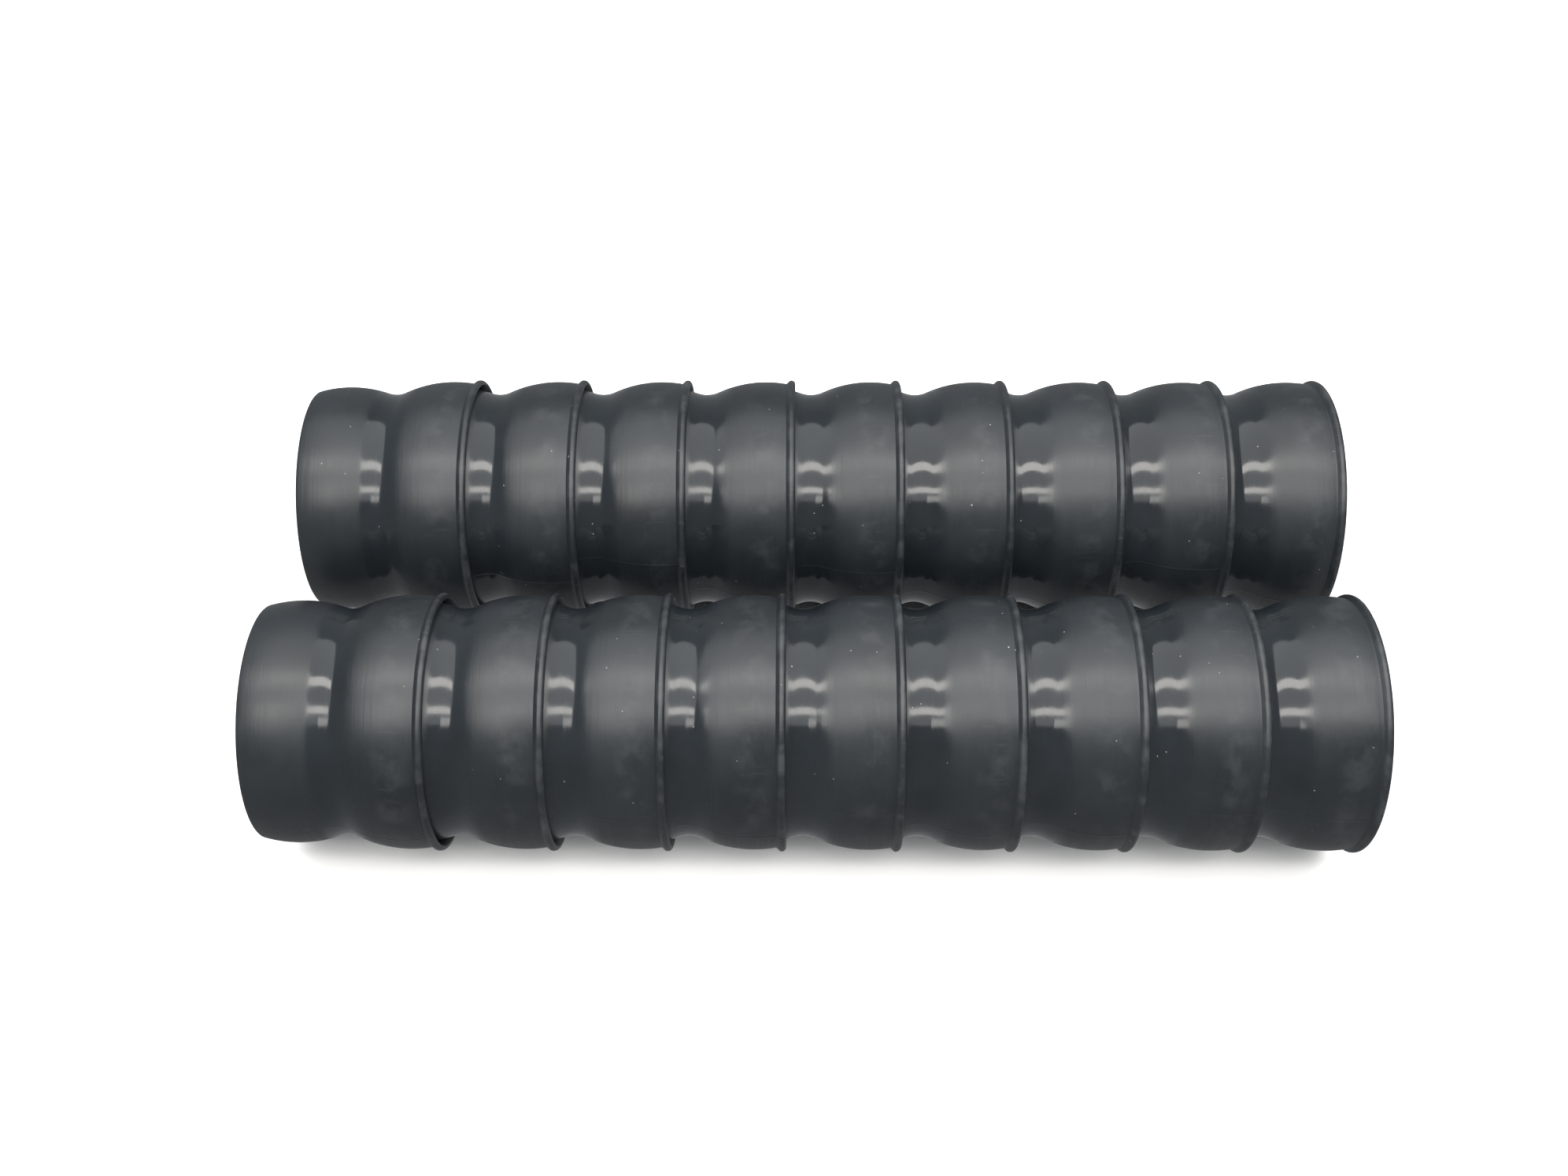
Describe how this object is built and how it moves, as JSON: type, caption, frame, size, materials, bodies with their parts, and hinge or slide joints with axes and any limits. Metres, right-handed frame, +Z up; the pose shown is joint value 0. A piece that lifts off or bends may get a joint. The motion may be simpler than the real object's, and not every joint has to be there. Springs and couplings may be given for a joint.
{
  "type": "segmented vacuum hose",
  "caption": "Two straight lengths of black snap-together vacuum hose, each a chain of hollow hourglass elements whose balls turn in the sockets beside them.",
  "frame": {"origin": "centre of the footprint of the two lengths, on the surface they lie on", "axes": "+X along both lengths, from their bare ball ends to their open sockets; +Y from the front length to the rear one; +Z up"},
  "size_m": [0.3164, 0.1574, 0.0747],
  "materials": {
    "hose_plastic": "satin black, lightly scuffed"
  },
  "bodies": {
    "rear_element_1": {"rear_element_1": "hose_plastic"},
    "rear_element_2": {"rear_element_2": "hose_plastic"},
    "rear_element_3": {"rear_element_3": "hose_plastic"},
    "rear_element_4": {"rear_element_4": "hose_plastic"},
    "rear_element_5": {"rear_element_5": "hose_plastic"},
    "rear_element_6": {"rear_element_6": "hose_plastic"},
    "rear_element_7": {"rear_element_7": "hose_plastic"},
    "rear_element_8": {"rear_element_8": "hose_plastic"},
    "rear_element_9": {"rear_element_9": "hose_plastic"},
    "front_element_1": {"front_element_1": "hose_plastic"},
    "front_element_2": {"front_element_2": "hose_plastic"},
    "front_element_3": {"front_element_3": "hose_plastic"},
    "front_element_4": {"front_element_4": "hose_plastic"},
    "front_element_5": {"front_element_5": "hose_plastic"},
    "front_element_6": {"front_element_6": "hose_plastic"},
    "front_element_7": {"front_element_7": "hose_plastic"},
    "front_element_8": {"front_element_8": "hose_plastic"},
    "front_element_9": {"front_element_9": "hose_plastic"}
  },
  "joints": [
    {"name": "rear_joint_5", "type": "hinge", "parent": "rear_element_5", "child": "rear_element_6", "pos_m": [0.01775, 0.04135, 0.03735], "axis": [0, 1, 0], "range_deg": [-10, 10]},
    {"name": "rear_joint_6", "type": "hinge", "parent": "rear_element_6", "child": "rear_element_7", "pos_m": [0.05055, 0.04135, 0.03735], "axis": [0, 1, 0], "range_deg": [-10, 10]},
    {"name": "rear_joint_7", "type": "hinge", "parent": "rear_element_7", "child": "rear_element_8", "pos_m": [0.08335, 0.04135, 0.03735], "axis": [0, 1, 0], "range_deg": [-10, 10]},
    {"name": "rear_joint_8", "type": "hinge", "parent": "rear_element_8", "child": "rear_element_9", "pos_m": [0.11615, 0.04135, 0.03735], "axis": [0, 1, 0], "range_deg": [-10, 10]},
    {"name": "rear_joint_4", "type": "hinge", "parent": "rear_element_5", "child": "rear_element_4", "pos_m": [-0.01505, 0.04135, 0.03735], "axis": [0, 1, 0], "range_deg": [-10, 10]},
    {"name": "rear_joint_3", "type": "hinge", "parent": "rear_element_4", "child": "rear_element_3", "pos_m": [-0.04785, 0.04135, 0.03735], "axis": [0, 1, 0], "range_deg": [-10, 10]},
    {"name": "rear_joint_2", "type": "hinge", "parent": "rear_element_3", "child": "rear_element_2", "pos_m": [-0.08065, 0.04135, 0.03735], "axis": [0, 1, 0], "range_deg": [-10, 10]},
    {"name": "rear_joint_1", "type": "hinge", "parent": "rear_element_2", "child": "rear_element_1", "pos_m": [-0.11345, 0.04135, 0.03735], "axis": [0, 1, 0], "range_deg": [-10, 10]},
    {"name": "lengths_apart", "type": "slide", "parent": "rear_element_5", "child": "front_element_5", "axis": [0, -1, 0], "range_m": [0, 0.15]},
    {"name": "front_joint_5", "type": "hinge", "parent": "front_element_5", "child": "front_element_6", "pos_m": [0.01525, -0.04135, 0.03735], "axis": [0, 1, 0], "range_deg": [-10, 10]},
    {"name": "front_joint_6", "type": "hinge", "parent": "front_element_6", "child": "front_element_7", "pos_m": [0.04805, -0.04135, 0.03735], "axis": [0, 1, 0], "range_deg": [-10, 10]},
    {"name": "front_joint_7", "type": "hinge", "parent": "front_element_7", "child": "front_element_8", "pos_m": [0.08085, -0.04135, 0.03735], "axis": [0, 1, 0], "range_deg": [-10, 10]},
    {"name": "front_joint_8", "type": "hinge", "parent": "front_element_8", "child": "front_element_9", "pos_m": [0.11365, -0.04135, 0.03735], "axis": [0, 1, 0], "range_deg": [-10, 10]},
    {"name": "front_joint_4", "type": "hinge", "parent": "front_element_5", "child": "front_element_4", "pos_m": [-0.01755, -0.04135, 0.03735], "axis": [0, 1, 0], "range_deg": [-10, 10]},
    {"name": "front_joint_3", "type": "hinge", "parent": "front_element_4", "child": "front_element_3", "pos_m": [-0.05035, -0.04135, 0.03735], "axis": [0, 1, 0], "range_deg": [-10, 10]},
    {"name": "front_joint_2", "type": "hinge", "parent": "front_element_3", "child": "front_element_2", "pos_m": [-0.08315, -0.04135, 0.03735], "axis": [0, 1, 0], "range_deg": [-10, 10]},
    {"name": "front_joint_1", "type": "hinge", "parent": "front_element_2", "child": "front_element_1", "pos_m": [-0.11595, -0.04135, 0.03735], "axis": [0, 1, 0], "range_deg": [-10, 10]}
  ]
}
